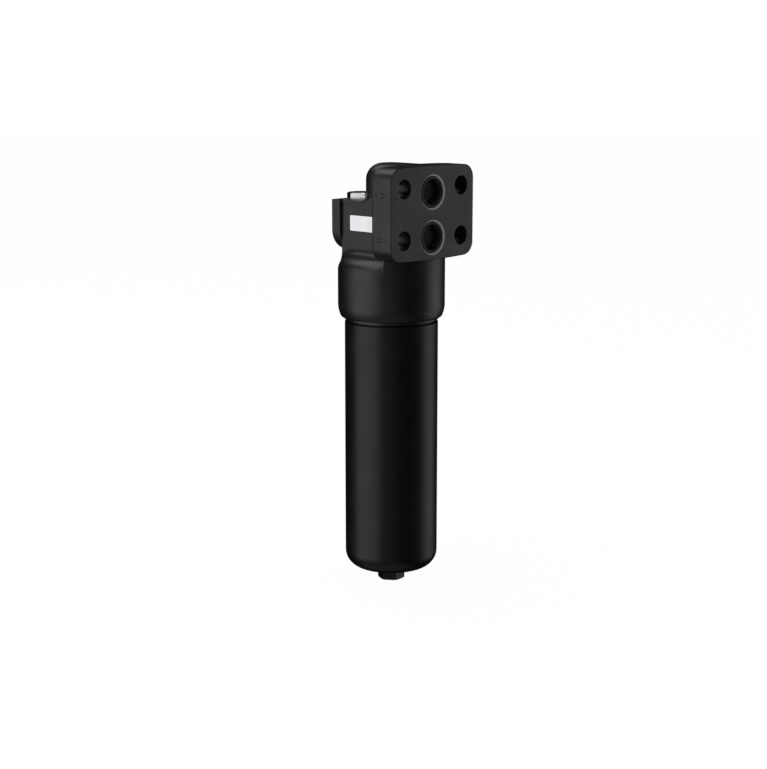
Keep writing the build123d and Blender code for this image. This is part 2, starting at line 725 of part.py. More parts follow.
# Face seals of the two ports, just below the flange face
port_ring_radius = port_seat_radius - fit_clearance - port_ring_section / 2
port_ring_plane = Plane.XZ.offset(-port_seat_depth / 2)
with BuildPart() as upper_port_o_ring:
    with Locations(port_ring_plane):
        with Locations((0, upper_port_level)):
            Torus(port_ring_radius, port_ring_section / 2)
upper_port_o_ring.part.label = "upper_port_o_ring"
export_step(upper_port_o_ring.part, "parts/upper_port_o_ring.step")

with BuildPart() as lower_port_o_ring:
    with Locations(port_ring_plane):
        with Locations((0, lower_port_level)):
            Torus(port_ring_radius, port_ring_section / 2)
lower_port_o_ring.part.label = "lower_port_o_ring"
export_step(lower_port_o_ring.part, "parts/lower_port_o_ring.step")

# Name plate, flat on the saddle's left flank
plate_middle_back = bowl_axis_back + plate_back_end - plate_length / 2
plate_plane = Plane(
    origin=(-trunk_radius, plate_middle_back, shelf_level - plate_drop), x_dir=(0, -1, 0), z_dir=(-1, 0, 0)
)
with BuildPart() as name_plate:
    with BuildSketch(plate_plane):
        RectangleRounded(plate_length, plate_height, plate_corner_round)
    extrude(amount=plate_thickness)
name_plate.part.label = "name_plate"
export_step(name_plate.part, "parts/name_plate.step")
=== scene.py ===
"""Looks of a hydraulic pressure line filter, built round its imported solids.

The solids are the fixed frame. The head is a copy of its solid, with a wider bevel
round the flange's back edge and two flow arrows sunk into the flange's side. Every
other solid keeps its shape and gets its finish. All sizes are in metres.
"""

import json
import logging
import math
from dataclasses import dataclass, field
from enum import Enum

import bpy
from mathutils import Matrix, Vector

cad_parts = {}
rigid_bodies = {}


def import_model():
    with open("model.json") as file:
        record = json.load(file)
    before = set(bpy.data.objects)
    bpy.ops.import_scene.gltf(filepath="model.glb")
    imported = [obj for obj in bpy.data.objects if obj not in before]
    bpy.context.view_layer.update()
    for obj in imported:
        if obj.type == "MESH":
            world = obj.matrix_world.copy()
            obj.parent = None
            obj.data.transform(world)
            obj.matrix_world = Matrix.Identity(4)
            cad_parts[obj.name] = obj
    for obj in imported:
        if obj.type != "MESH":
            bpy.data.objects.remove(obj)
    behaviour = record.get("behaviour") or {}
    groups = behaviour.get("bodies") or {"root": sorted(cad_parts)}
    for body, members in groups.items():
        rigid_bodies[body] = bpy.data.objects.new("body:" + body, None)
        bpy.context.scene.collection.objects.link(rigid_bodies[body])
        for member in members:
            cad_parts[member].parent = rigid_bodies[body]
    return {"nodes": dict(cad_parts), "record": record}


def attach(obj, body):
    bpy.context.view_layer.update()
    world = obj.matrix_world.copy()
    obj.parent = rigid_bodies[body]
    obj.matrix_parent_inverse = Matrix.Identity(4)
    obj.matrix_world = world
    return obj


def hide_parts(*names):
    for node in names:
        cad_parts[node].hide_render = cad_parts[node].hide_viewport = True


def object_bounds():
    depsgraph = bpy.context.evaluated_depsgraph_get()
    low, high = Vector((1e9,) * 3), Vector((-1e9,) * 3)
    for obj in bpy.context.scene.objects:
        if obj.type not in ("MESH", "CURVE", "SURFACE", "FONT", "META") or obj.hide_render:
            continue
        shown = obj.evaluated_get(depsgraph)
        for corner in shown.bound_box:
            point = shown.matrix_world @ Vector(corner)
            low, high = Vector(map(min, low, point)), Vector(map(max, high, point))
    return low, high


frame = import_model()
cad_low, cad_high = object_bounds()

LOG = logging.getLogger("line_filter")
MM = 0.001
BODY = "root"
MERGE_DISTANCE = 0.001 * MM
WHITE = (1.0, 1.0, 1.0, 1.0)
BLACK = (0.0, 0.0, 0.0, 1.0)

Colour = tuple[float, float, float]
Point = tuple[float, float, float]


# Helpers for objects and meshes


def select_only(obj: bpy.types.Object) -> None:
    """Leaves one object selected and active.

    Args:
        obj: The object that the next operators act on.
    """
    bpy.ops.object.select_all(action="DESELECT")
    obj.hide_set(False)
    obj.select_set(True)
    bpy.context.view_layer.objects.active = obj


def apply_modifier(obj: bpy.types.Object, kind: str, **settings: object) -> None:
    """Adds a modifier to an object and applies it.

    Args:
        obj: The object to change.
        kind: Blender's name of the modifier's type.
        settings: The modifier's properties.
    """
    select_only(obj)
    modifier = obj.modifiers.new(kind.lower(), kind)
    for key, value in settings.items():
        setattr(modifier, key, value)
    bpy.ops.object.modifier_apply(modifier=modifier.name)


def recalculate_normals(obj: bpy.types.Object) -> None:
    """Merges a mesh's doubles and turns its faces outwards."""
    select_only(obj)
    bpy.ops.object.mode_set(mode="EDIT")
    bpy.ops.mesh.select_all(action="SELECT")
    bpy.ops.mesh.remove_doubles(threshold=MERGE_DISTANCE)
    bpy.ops.mesh.normals_make_consistent(inside=False)
    bpy.ops.object.mode_set(mode="OBJECT")


def direction(turn: float, rise: float) -> Vector:
    """Points the way to a place round the filter.

    Args:
        turn: Degrees round it from the front, to the right.
        rise: Degrees above the horizon.

    Returns:
        The way there, one metre long.
    """
    around, up = math.radians(turn), math.radians(rise)
    return Vector((math.sin(around) * math.cos(up), -math.cos(around) * math.cos(up), math.sin(up)))


# Helpers for shader nodes


class Sheet:
    """A node tree while it is laid out, with short calls for its nodes.

    Attributes:
        tree: The node tree.
    """

    def __init__(self, tree: bpy.types.NodeTree) -> None:
        """Keeps the tree that the nodes are added to."""
        self.tree = tree

    def put(self, socket: bpy.types.NodeSocket, value: object) -> None:
        """Links a socket to another, or sets its value.

        Args:
            socket: The input.
            value: An output socket, a number, a vector or a colour.
        """
        if isinstance(value, bpy.types.NodeSocket):
            self.tree.links.new(value, socket)
        elif isinstance(value, tuple) and socket.type == "RGBA":
            socket.default_value = (*value, 1.0)
        else:
            socket.default_value = value

    def node(self, kind: str, settings: dict | None = None, **inputs: object) -> bpy.types.Node:
        """Adds a node.

        Args:
            kind: The end of Blender's name of the node, after ShaderNode.
            settings: Properties of the node.
            inputs: Its inputs by name, with _ for a space, or by number as n0, n1.

        Returns:
            The new node.
        """
        made = self.tree.nodes.new("ShaderNode" + kind)
        for key, value in (settings or {}).items():
            setattr(made, key, value)
        for key, value in inputs.items():
            numbered = key[0] == "n" and key[1:].isdigit()
            name = int(key[1:]) if numbered else key.replace("_", " ")
            self.put(made.inputs[name], value)
        return made

    def sum(
        self, operation: str, first: object, second: object = 0.0, clamp: bool = False
    ) -> bpy.types.NodeSocket:
        """Adds a Math node and returns its value.

        Args:
            operation: Blender's name of the operation.
            first: The first number or socket.
            second: The second number or socket.
            clamp: Whether the result is kept between 0 and 1.

        Returns:
            The result's socket.
        """
        settings = {"operation": operation, "use_clamp": clamp}
        return self.node("Math", settings, n0=first, n1=second).outputs[0]

    def ramp(
        self, value: object, low: float, high: float, to_low: float = 0.0, to_high: float = 1.0
    ) -> bpy.types.NodeSocket:
        """Maps a range smoothly to another and returns the value.

        Args:
            value: The number or socket to map.
            low: The start of its range.
            high: The end of its range.
            to_low: The result at the start.
            to_high: The result at the end.

        Returns:
            The result's socket.
        """
        settings = {"interpolation_type": "SMOOTHSTEP", "clamp": True}
        made = self.node(
            "MapRange", settings, Value=value, From_Min=low, From_Max=high, To_Min=to_low, To_Max=to_high
        )
        return made.outputs["Result"]

    def mix(self, factor: object, first: object, second: object) -> bpy.types.NodeSocket:
        """Mixes two colours.

        Args:
            factor: The share of the second.
            first: The first colour or socket.
            second: The second colour or socket.

        Returns:
            The mixed colour's socket.
        """
        made = self.node("Mix", {"data_type": "RGBA"})
        self.put(made.inputs[0], factor)
        self.put(made.inputs[6], first)
        self.put(made.inputs[7], second)
        return made.outputs[2]

    def looked_at(self) -> bpy.types.NodeSocket:
        """Gives 1 to camera, glossy and transmission rays, and 0 to all others.

        Returns:
            The socket of that share.
        """
        ray = self.node("LightPath").outputs
        seen = self.sum("ADD", ray["Is Camera Ray"], ray["Is Glossy Ray"], True)
        return self.sum("ADD", seen, ray["Is Transmission Ray"], True)


class Effect(Enum):
    """The shared shader effects, by the names of their node groups."""

    SKIN = "skin_relief"
    TURNED = "turning_marks"
    WORN = "worn_edges"


def new_effect(effect: Effect, inputs: dict[str, str], outputs: dict[str, str]) -> tuple:
    """Makes an empty node group with its sockets.

    Args:
        effect: Which effect the group holds.
        inputs: The inputs' names and socket types.
        outputs: The outputs' names and socket types.

    Returns:
        The group's sheet, its input node and its output node.
    """
    tree = bpy.data.node_groups.new(effect.value, "ShaderNodeTree")
    for name, kind in inputs.items():
        tree.interface.new_socket(name, in_out="INPUT", socket_type=kind)
    for name, kind in outputs.items():
        tree.interface.new_socket(name, in_out="OUTPUT", socket_type=kind)
    entry = tree.nodes.new("NodeGroupInput")
    leave = tree.nodes.new("NodeGroupOutput")
    return Sheet(tree), entry.outputs, leave.inputs


def make_skin_relief() -> None:
    """Relief of a sprayed or moulded skin: fine grain over a softer orange peel."""
    grain_share = 0.4
    patches_to_the_metre = 38.0
    patch_low, patch_high = 0.3, 0.7
    sheet, given, result = new_effect(
        Effect.SKIN,
        {"Vector": "NodeSocketVector", "Grain": "NodeSocketFloat", "Peel": "NodeSocketFloat"},
        {"Height": "NodeSocketFloat", "Patches": "NodeSocketFloat"},
    )
    noise = {"noise_dimensions": "3D"}
    place = given["Vector"]
    grain = sheet.node("TexNoise", noise, Vector=place, Scale=given["Grain"], Detail=3.0, Roughness=0.6)
    peel = sheet.node("TexNoise", noise, Vector=place, Scale=given["Peel"], Detail=1.0, Roughness=0.4)
    patches = sheet.node(
        "TexNoise", noise, Vector=place, Scale=patches_to_the_metre, Detail=4.0, Roughness=0.55
    )
    fine = sheet.sum("MULTIPLY", grain.outputs[0], grain_share)
    soft = sheet.sum("MULTIPLY", peel.outputs[0], 1.0 - grain_share)
    height = sheet.sum("ADD", fine, soft)
    sheet.put(result["Height"], height)
    sheet.put(result["Patches"], sheet.ramp(patches.outputs[0], patch_low, patch_high))


def make_turning_marks() -> None:
    """Fine rings round the local Z axis, as a lathe tool leaves them."""
    streaks_to_a_ring = 0.11
    streak_low, streak_high = 0.3, 0.7
    sheet, given, result = new_effect(
        Effect.TURNED,
        {"Vector": "NodeSocketVector", "Rings": "NodeSocketFloat"},
        {"Height": "NodeSocketFloat", "Streaks": "NodeSocketFloat"},
    )
    parts = sheet.node("SeparateXYZ", None, n0=given["Vector"]).outputs
    squares = sheet.sum("ADD", sheet.sum("POWER", parts[0], 2.0), sheet.sum("POWER", parts[1], 2.0))
    travel = sheet.sum("ADD", sheet.sum("SQRT", squares), parts[2])
    place = sheet.sum("MULTIPLY", travel, given["Rings"])
    settings = {"noise_dimensions": "1D"}
    fine = sheet.node("TexNoise", settings, W=place, Scale=1.0, Detail=2.0, Roughness=0.7)
    broad = sheet.node("TexNoise", settings, W=place, Scale=streaks_to_a_ring, Detail=2.0, Roughness=0.5)
    sheet.put(result["Height"], fine.outputs[0])
    sheet.put(result["Streaks"], sheet.ramp(broad.outputs[0], streak_low, streak_high))


def make_worn_edges() -> None:
    """Mask of the outer edges, where paint is thin and handling polishes it."""
    flat, round_edge = 0.995, 0.90
    breaks_to_the_metre = 260.0
    break_low, break_high = 0.38, 0.62
    sheet, given, result = new_effect(
        Effect.WORN,
        {"Vector": "NodeSocketVector", "Radius": "NodeSocketFloat"},
        {"Mask": "NodeSocketFloat"},
    )
    rounded = sheet.node("Bevel", {"samples": 6}, Radius=given["Radius"])
    true_normal = sheet.node("NewGeometry").outputs["Normal"]
    dot = {"operation": "DOT_PRODUCT"}
    turned = sheet.node("VectorMath", dot, n0=rounded.outputs[0], n1=true_normal)
    edge = sheet.ramp(turned.outputs["Value"], flat, round_edge)
    noise = {"noise_dimensions": "3D"}
    broken = sheet.node("TexNoise", noise, Vector=given["Vector"], Scale=breaks_to_the_metre, Detail=4.0)
    left = sheet.ramp(broken.outputs[0], break_low, break_high)
    sheet.put(result["Mask"], sheet.sum("MULTIPLY", edge, left))


# Finishes


@dataclass(frozen=True)
class Finish:
    """A finish of one kind of surface.

    Attributes:
        name: The material's name, which is also the record's slot.
        colour: Its base colour.
        roughness: Its middle roughness.
        spread: How far the roughness varies, end to end.
        grain: Grain marks to the metre.
        peel: Soft waves to the metre.
        depth: Depth of the relief.
        unevenness: Share by which the base colour varies.
    """

    name: str
    colour: Colour
    roughness: float
    spread: float = 0.08
    grain: float = 1500.0
    peel: float = 350.0
    depth: float = 0.01 * MM
    unevenness: float = 0.08

    def build(self) -> bpy.types.Material:
        """Makes the material with its shader, and has the finish dress it.

        Returns:
            The material.
        """
        material = bpy.data.materials.new(self.name)
        material.use_nodes = True
        sheet = Sheet(material.node_tree)
        shader = material.node_tree.nodes["Principled BSDF"]
        place = sheet.node("TexCoord").outputs["Object"]
        self.dress(sheet, shader, place)
        return material

    def effect(self, sheet: Sheet, effect: Effect, **inputs: object) -> bpy.types.bpy_prop_collection:
        """Places a shared effect in the material.

        Args:
            sheet: The material's sheet.
            effect: The effect.
            inputs: The effect's own values.

        Returns:
            The effect's outputs.
        """
        made = sheet.tree.nodes.new("ShaderNodeGroup")
        made.node_tree = bpy.data.node_groups[effect.value]
        for key, value in inputs.items():
            sheet.put(made.inputs[key], value)
        return made.outputs

    def skin(
        self, sheet: Sheet, shader: bpy.types.Node, place: bpy.types.NodeSocket
    ) -> bpy.types.NodeSocket:
        """Gives the surface its relief and its uneven roughness.

        Args:
            sheet: The material's sheet.
            shader: The Principled shader.
            place: Where on the object, in metres.

        Returns:
            The mask of broad soft patches.
        """
        relief = self.effect(sheet, Effect.SKIN, Vector=place, Grain=self.grain, Peel=self.peel)
        bump = sheet.node("Bump", None, Strength=1.0, Distance=self.depth, Height=relief["Height"])
        sheet.put(shader.inputs["Normal"], bump.outputs[0])
        sheet.put(shader.inputs["Roughness"], self.patchy_roughness(sheet, relief["Patches"]))
        return relief["Patches"]

    def patchy_roughness(self, sheet: Sheet, patches: bpy.types.NodeSocket) -> bpy.types.NodeSocket:
        """Spreads the roughness round its middle.

        Args:
            sheet: The material's sheet.
            patches: The mask of broad soft patches.

        Returns:
            The roughness's socket.
        """
        low, high = self.roughness - self.spread / 2, self.roughness + self.spread / 2
        return sheet.ramp(patches, 0.0, 1.0, low, high)

    def tinted(self, share: float) -> Colour:
        """The base colour made lighter or darker by a share of itself."""
        return tuple(min(1.0, part * (1.0 + share)) for part in self.colour)

    def dress(self, sheet: Sheet, shader: bpy.types.Node, place: bpy.types.NodeSocket) -> None:
        """Lays out the nodes of this finish.

        Args:
            sheet: The material's sheet.
            shader: The Principled shader.
            place: Where on the object, in metres.
        """
        patches = self.skin(sheet, shader, place)
        colour = sheet.mix(patches, self.tinted(-self.unevenness), self.tinted(self.unevenness))
        sheet.put(shader.inputs["Base Color"], colour)


@dataclass(frozen=True)
class PaintFinish(Finish):
    """Sprayed black paint, thinner and shinier along the outer edges.

    Attributes:
        gloss: Specular level of the dried paint.
        sheen_tint: Tint of its highlights.
        worn_colour: Colour where the paint is thin.
        worn_radius: Width of the thin edge.
        worn_polish: How much smoother the thin edge is.
    """

    gloss: float = 0.6
    sheen_tint: Colour = (1.0, 0.995, 0.94)
    worn_colour: Colour = (0.03, 0.03, 0.029)
    worn_radius: float = 0.5 * MM
    worn_polish: float = 0.08
    unevenness: float = 0.1

    def dress(self, sheet: Sheet, shader: bpy.types.Node, place: bpy.types.NodeSocket) -> None:
        """Lays out the paint's nodes."""
        colour, roughness = self.paint(sheet, shader, place)
        sheet.put(shader.inputs["Base Color"], colour)
        sheet.put(shader.inputs["Roughness"], roughness)

    def paint(self, sheet: Sheet, shader: bpy.types.Node, place: bpy.types.NodeSocket) -> tuple:
        """Lays out the paint itself.

        Args:
            sheet: The material's sheet.
            shader: The Principled shader.
            place: Where on the object, in metres.

        Returns:
            The sockets of the paint's colour and roughness.
        """
        patches = self.skin(sheet, shader, place)
        worn = self.effect(sheet, Effect.WORN, Vector=place, Radius=self.worn_radius)["Mask"]
        sprayed = sheet.mix(patches, self.tinted(-self.unevenness), self.tinted(self.unevenness))
        colour = sheet.mix(worn, sprayed, self.worn_colour)
        polish = sheet.sum("MULTIPLY", worn, self.worn_polish)
        roughness = sheet.sum("SUBTRACT", self.patchy_roughness(sheet, patches), polish)
        shader.inputs["Specular IOR Level"].default_value = self.gloss
        shader.inputs["Specular Tint"].default_value = (*self.sheen_tint, 1.0)
        return colour, roughness


@dataclass(frozen=True)
class CastingFinish(PaintFinish):
    """Black paint on a casting, with bare machined chamfers round the ports and painted light in the
    bores.

    The chamfer round each seat is machined after painting. Deeper in each bore the wall is
    painted a lighter grey, a painted pool of light on the far wall.

    Attributes:
        port_levels: Heights of the two port axes.
        seat_radius: Outside of the chamfer round each seat.
        chamfer_depth: How far the chamfer reaches into each port.
        bore_radius: Just outside the wall of each bore.
        bore_light_begins: Where the painted light in the bores begins to fade in.
        bore_light_full: From where the bores are painted fully lighter, as painted light.
        bore_end: Behind the far end of both bores.
        seat_colour: Colour of the machined chamfer.
        bore_painted_light_colour: The lighter grey painted deep in the bores as painted light.
        iron_roughness: Roughness of both.
    """

    port_levels: tuple[float, float] = (18.2 * MM, -22.2 * MM)
    seat_radius: float = 15.7 * MM
    chamfer_depth: float = 1.35 * MM
    bore_radius: float = 11.4 * MM
    bore_light_begins: float = 8.0 * MM
    bore_light_full: float = 20.0 * MM
    bore_end: float = 55.0 * MM
    seat_colour: Colour = (0.22, 0.22, 0.215)
    # Painted light: the deep bore walls get this lighter grey, a painted pool of light.
    bore_painted_light_colour: Colour = (0.12, 0.12, 0.117)
    iron_roughness: float = 0.5

    def dress(self, sheet: Sheet, shader: bpy.types.Node, place: bpy.types.NodeSocket) -> None:
        """Lays out the paint, the bare chamfers and the painted light in the bores."""
        colour, roughness = self.paint(sheet, shader, place)
        ring, bore = self.bare_seats_and_bore_light(sheet, place)
        with_ring = sheet.mix(ring, colour, self.seat_colour)
        # Painted light: the bores turn this lighter grey the deeper they go.
        sheet.put(shader.inputs["Base Color"], sheet.mix(bore, with_ring, self.bore_painted_light_colour))
        even = sheet.node("Mix", {"data_type": "FLOAT"})
        sheet.put(even.inputs[0], sheet.sum("ADD", ring, bore, True))
        sheet.put(even.inputs[2], roughness)
        sheet.put(even.inputs[3], self.iron_roughness)
        sheet.put(shader.inputs["Roughness"], even.outputs[0])

    def bare_seats_and_bore_light(self, sheet: Sheet, place: bpy.types.NodeSocket) -> tuple:
        """Masks the bare chamfers, and the deep bore walls that are painted lighter as painted light.

        Args:
            sheet: The material's sheet.
            place: Where on the object, in metres.

        Returns:
            The sockets of the masks of the chamfers and of the painted light in the bores.
        """
        parts = sheet.node("SeparateXYZ", None, n0=place).outputs
        across = sheet.sum("POWER", parts[0], 2.0)
        near = 1.0
        for level in self.port_levels:
            up = sheet.sum("POWER", sheet.sum("SUBTRACT", parts[2], level), 2.0)
            distance = sheet.sum("SQRT", sheet.sum("ADD", across, up))
            near = sheet.sum("MINIMUM", distance, near)
        seat = sheet.sum("LESS_THAN", near, self.seat_radius)
        ring = sheet.sum("MULTIPLY", seat, sheet.sum("LESS_THAN", parts[1], self.chamfer_depth))
        wall = sheet.sum("LESS_THAN", near, self.bore_radius)
        reached = sheet.sum("MULTIPLY", wall, sheet.sum("LESS_THAN", parts[1], self.bore_end))
        # Painted light: the bore wall's colour grows lighter with depth, a painted pool of light.
        deep = sheet.ramp(parts[1], self.bore_light_begins, self.bore_light_full)
        return ring, sheet.sum("MULTIPLY", reached, deep)


@dataclass(frozen=True)
class MetalFinish(Finish):
    """Turned or plated steel, with rings round a vertical axis.

    Attributes:
        axis_at: A point on the axis that the piece was turned about.
        rings: Rings to the metre.
        ring_strength: How strongly the rings show.
        streak_tints: Shares by which the streaks are darker and lighter.
    """

    axis_at: Point = (0.0, 51.3 * MM, 0.0)
    rings: float = 6000.0
    ring_strength: float = 0.6
    streak_tints: tuple[float, float] = (-0.07, 0.05)

    def dress(self, sheet: Sheet, shader: bpy.types.Node, place: bpy.types.NodeSocket) -> None:
        """Lays out the metal's nodes."""
        patches = self.skin(sheet, shader, place)
        centred = sheet.node("VectorMath", {"operation": "SUBTRACT"}, n0=place, n1=self.axis_at)
        marks = self.effect(sheet, Effect.TURNED, Vector=centred.outputs[0], Rings=self.rings)
        bump = shader.inputs["Normal"].links[0].from_node
        fine = sheet.node(
            "Bump", None, Strength=self.ring_strength, Distance=self.depth, Height=marks["Height"]
        )
        sheet.put(fine.inputs["Normal"], bump.outputs[0])
        sheet.put(shader.inputs["Normal"], fine.outputs[0])
        darker, lighter = self.streak_tints
        streaked = sheet.mix(marks["Streaks"], self.tinted(darker), self.tinted(lighter))
        sheet.put(shader.inputs["Base Color"], sheet.mix(patches, streaked, self.colour))
        shader.inputs["Metallic"].default_value = 1.0


@dataclass(frozen=True)
class SoftFinish(Finish):
    """Rubber, plastic, resin or fleece: a plain body colour with its own relief.

    Attributes:
        gloss: Specular level.
        glow: Weight of light that spreads under the surface.
        glow_reach: How far that light spreads.
        fuzz: Weight of the sheen of loose fibres.
    """

    gloss: float = 0.4
    glow: float = 0.0
    glow_reach: float = 1.0 * MM
    fuzz: float = 0.0

    def dress(self, sheet: Sheet, shader: bpy.types.Node, place: bpy.types.NodeSocket) -> None:
        """Lays out the nodes of the soft surface."""
        super().dress(sheet, shader, place)
        shader.inputs["Specular IOR Level"].default_value = self.gloss
        shader.inputs["Subsurface Weight"].default_value = self.glow
        shader.inputs["Subsurface Scale"].default_value = self.glow_reach
        shader.inputs["Sheen Weight"].default_value = self.fuzz


FINISHES: tuple[Finish, ...] = (
    CastingFinish("black_painted_casting", (0.0035, 0.0035, 0.0034), 0.40),
    PaintFinish(
        "black_painted_steel",
        (0.0025, 0.0025, 0.0024),
        roughness=0.38,
        spread=0.05,
        grain=2200.0,
        peel=420.0,
        depth=0.004 * MM,
        gloss=0.40,
    ),
    MetalFinish(
        "zinc_plated_steel",
        (0.95, 0.955, 0.97),
        roughness=0.16,
        spread=0.05,
        depth=0.001 * MM,
        axis_at=(0.0, 89.9 * MM, 0.0),
    ),
    MetalFinish("plain_steel", (0.50, 0.50, 0.51), 0.32),
    MetalFinish("spring_steel", (0.30, 0.31, 0.33), 0.36),
    SoftFinish("seal_rubber", (0.012, 0.012, 0.012), 0.55, 0.1, 3000.0, 900.0, 0.006 * MM),
    SoftFinish("backup_plastic", (0.80, 0.79, 0.75), 0.38, glow=0.1),
    SoftFinish("potting_resin", (0.50, 0.42, 0.28), 0.30, glow=0.1),
    SoftFinish("pleated_medium", (0.82, 0.80, 0.74), 0.85, 0.1, 5000.0, 1800.0, 0.05 * MM, fuzz=0.3),
    SoftFinish("sleeve_plastic", (0.10, 0.17, 0.26), 0.50, 0.1, 2500.0, 700.0, 0.01 * MM),
    SoftFinish(
        "plate_white",
        (0.76, 0.765, 0.785),
        roughness=0.42,
        spread=0.06,
        grain=2500.0,
        peel=300.0,
        depth=0.003 * MM,
        gloss=0.45,
    ),
)


class Paintshop:
    """Makes every finish once and puts it on the pieces that have it.

    Attributes:
        materials: The materials by their finish's name.
        slots: The name of each solid's finish.
    """

    def __init__(self) -> None:
        """Makes the shared effects, then every finish."""
        make_skin_relief()
        make_turning_marks()
        make_worn_edges()
        self.materials = {finish.name: finish.build() for finish in FINISHES}
        self.slots = {part["node"]: part["material_slot"] for part in frame["record"]["subparts"]}

    def cover(self, obj: bpy.types.Object, finish: str) -> None:
        """Puts one finish all over an object.

        Args:
            obj: The object.
            finish: The finish's name.
        """
        if not obj.material_slots:
            obj.data.materials.append(self.materials[finish])
        for slot in obj.material_slots:
            slot.material = self.materials[finish]

    def cover_solids(self) -> None:
        """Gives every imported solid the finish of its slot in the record."""
        for name, obj in frame["nodes"].items():
            self.cover(obj, self.slots[name])
            LOG.info("%s: finished as %s", name, self.slots[name])


# The head and its flow arrows


class Heading(Enum):
    """Which way a flow arrow points."""

    OUT_OF_FACE = -1
    INTO_HEAD = 1


@dataclass
class FlowArrow:
    """One outlined arrow, sunk into the left side of the flange.

    Attributes:
        name: The arrow's name.
        heading: Which way it points.
        level: Height of its middle.
        middle_back: Its middle behind the flange face.
        side: Where the flange's left side lies.
        length: From tail to tip.
        head_length: Of its head.
        head_half: Half the height of its head.
        shaft_half: Half the height of its shaft.
        line_width: Of the sunk outline.
        line_depth: Of the sunk outline.
    """

    name: str
    heading: Heading
    level: float
    middle_back: float = 12.4 * MM
    side: float = -54.2 * MM
    length: float = 12.6 * MM
    head_length: float = 5.6 * MM
    head_half: float = 3.1 * MM
    shaft_half: float = 1.45 * MM
    line_width: float = 0.8 * MM
    line_depth: float = 0.9 * MM

    def corners(self) -> list[Vector]:
        """The outline's seven corners, from the tip round to the tip."""
        tip = self.length / 2
        neck = tip - self.head_length
        flat = [
            (tip, 0.0),
            (neck, self.head_half),
            (neck, self.shaft_half),
            (-tip, self.shaft_half),
            (-tip, -self.shaft_half),
            (neck, -self.shaft_half),
            (neck, -self.head_half),
        ]
        sign = self.heading.value
        return [
            Vector((self.side, self.middle_back + sign * along, self.level + up)) for along, up in flat
        ]

    def cutter(self) -> bpy.types.Object:
        """Models the solid that sinks the outline.

        Returns:
            A closed ring in the arrow's shape, half in and half out of the flange.
        """
        targets = self.corners()
        bpy.ops.object.select_all(action="DESELECT")
        bpy.ops.mesh.primitive_circle_add(
            vertices=len(targets), radius=self.head_half, fill_type="NGON"
        )
        made = bpy.context.object
        made.name = self.name
        for number, target in enumerate(targets):
            bpy.ops.object.mode_set(mode="EDIT")
            bpy.ops.mesh.select_all(action="DESELECT")
            bpy.ops.object.mode_set(mode="OBJECT")
            made.data.vertices[number].select = True
            move = target - made.data.vertices[number].co
            bpy.ops.object.mode_set(mode="EDIT")
            bpy.ops.transform.translate(value=move)
        bpy.ops.mesh.select_all(action="SELECT")
        bpy.ops.mesh.inset(thickness=self.line_width, depth=0.0)
        bpy.ops.mesh.delete(type="FACE")
        bpy.ops.object.mode_set(mode="OBJECT")
        apply_modifier(made, "SOLIDIFY", thickness=2 * self.line_depth, offset=0.0)
        recalculate_normals(made)
        return made


@dataclass
class Head:
    """The cast head: its solid's shape, with a softer back edge and the flow arrows.

    Attributes:
        smooth_angle: Faces that meet at less than this are shaded as one.
        face_weight: How much large faces lead the shading, out of 100.
        bevel_front: Where the bevel of the flange's back edge begins.
        bevel_growth: How much further forward it begins here.
        flange_half: Half the width and half the height of the flange.
        rim_share: Share of those sizes beyond which a corner is on the rim.
        tolerance: How far a corner may lie from where the bevel begins.
        arrows: The flow arrows.
    """

    smooth_angle: float = math.radians(32.0)
    face_weight: int = 80
    bevel_front: float = 22.9 * MM
    bevel_growth: float = 1.3 * MM
    flange_half: tuple[float, float] = (54.2 * MM, 42.25 * MM)
    rim_share: float = 0.88
    tolerance: float = 0.05 * MM
    arrows: list[FlowArrow] = field(
        default_factory=lambda: [
            FlowArrow("outlet_arrow", Heading.OUT_OF_FACE, 17.7 * MM),
            FlowArrow("inlet_arrow", Heading.INTO_HEAD, -21.6 * MM),
        ]
    )

    def on_rim(self, place: Vector) -> bool:
        """Whether a corner begins the bevel of the flange's back edge."""
        reach = max(abs(place.x) / self.flange_half[0], abs(place.z) / self.flange_half[1])
        return abs(place.y - self.bevel_front) < self.tolerance and reach > self.rim_share

    def soften_back_edge(self, casting: bpy.types.Object) -> None:
        """Widens the bevel round the flange's back edge.

        Args:
            casting: The head, still with the flange's narrow bevel.
        """
        select_only(casting)
        bpy.ops.object.mode_set(mode="EDIT")
        bpy.ops.mesh.select_all(action="DESELECT")
        bpy.ops.object.mode_set(mode="OBJECT")
        for vertex in casting.data.vertices:
            vertex.select = self.on_rim(vertex.co)
        bpy.ops.object.mode_set(mode="EDIT")
        bpy.ops.mesh.select_mode(type="VERT")
        bpy.ops.transform.translate(value=(0.0, -self.bevel_growth, 0.0))
        bpy.ops.object.mode_set(mode="OBJECT")

    def build(self) -> bpy.types.Object:
        """Models the head from a merged copy of its solid.

        Returns:
            The head.
        """
        select_only(frame["nodes"]["head"])
        bpy.ops.object.duplicate()
        casting = bpy.context.object
        casting.name = "head_casting"
        bpy.ops.object.parent_clear(type="CLEAR_KEEP_TRANSFORM")
        bpy.ops.mesh.customdata_custom_splitnormals_clear()
        recalculate_normals(casting)
        self.soften_back_edge(casting)
        for arrow in self.arrows:
            cutter = arrow.cutter()
            apply_modifier(casting, "BOOLEAN", operation="DIFFERENCE", solver="EXACT", object=cutter)
            bpy.data.objects.remove(cutter)
            LOG.info("%s: sunk into the flange", arrow.name)
        select_only(casting)
        bpy.ops.object.shade_smooth_by_angle(angle=self.smooth_angle)
        shading = {"mode": "FACE_AREA", "weight": self.face_weight, "keep_sharp": True}
        apply_modifier(casting, "WEIGHTED_NORMAL", **shading)
        return casting

    def dress(self, shop: Paintshop) -> None:
        """Builds the head, finishes it and has it stand for its solid.

        Args:
            shop: Where the finishes come from.
        """
        casting = self.build()
        slot = shop.slots["head"]
        shop.cover(casting, slot)
        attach(casting, BODY)
        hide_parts("head")
        LOG.info("head_casting: %d faces", len(casting.data.polygons))


# The studio


